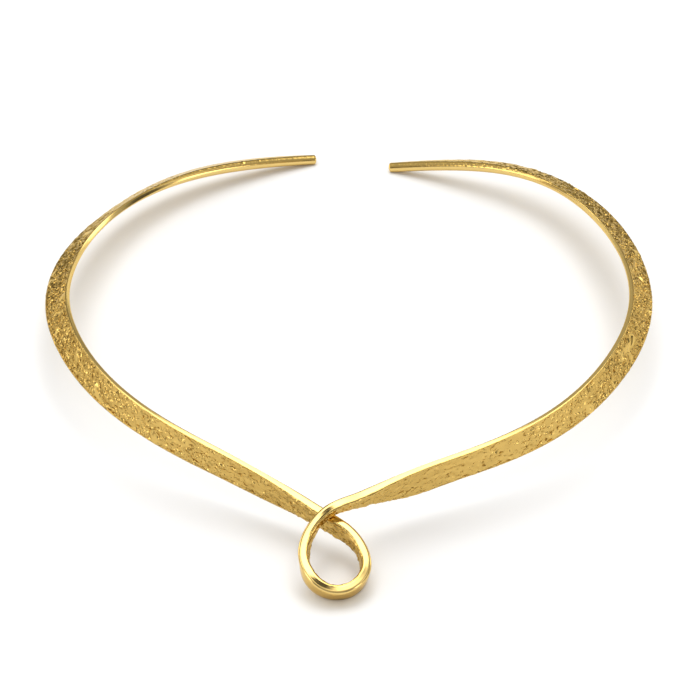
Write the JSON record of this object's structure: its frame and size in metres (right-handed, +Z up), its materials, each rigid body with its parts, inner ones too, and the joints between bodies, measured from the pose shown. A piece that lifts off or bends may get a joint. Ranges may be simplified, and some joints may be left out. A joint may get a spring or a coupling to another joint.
{
  "type": "gold torc",
  "caption": "Open neck ring forged from one flat hammered bar that loops over itself at the front and tapers to two round ends.",
  "frame": {"origin": "the middle of the torc's outline in plan, on the table that it rests on", "axes": "+X to the right as the loop faces the viewer, +Y from the loop at the front to the opening at the back, +Z up as it lies on the table"},
  "size_m": [0.1404, 0.1696, 0.02],
  "materials": {
    "gold": "gold, hammered and crinkled on the broad outer face, smooth and polished along the rounded top edge, the inner face and the loop's outer face"
  },
  "bodies": {
    "root": {"torc": "gold"}
  },
  "joints": []
}
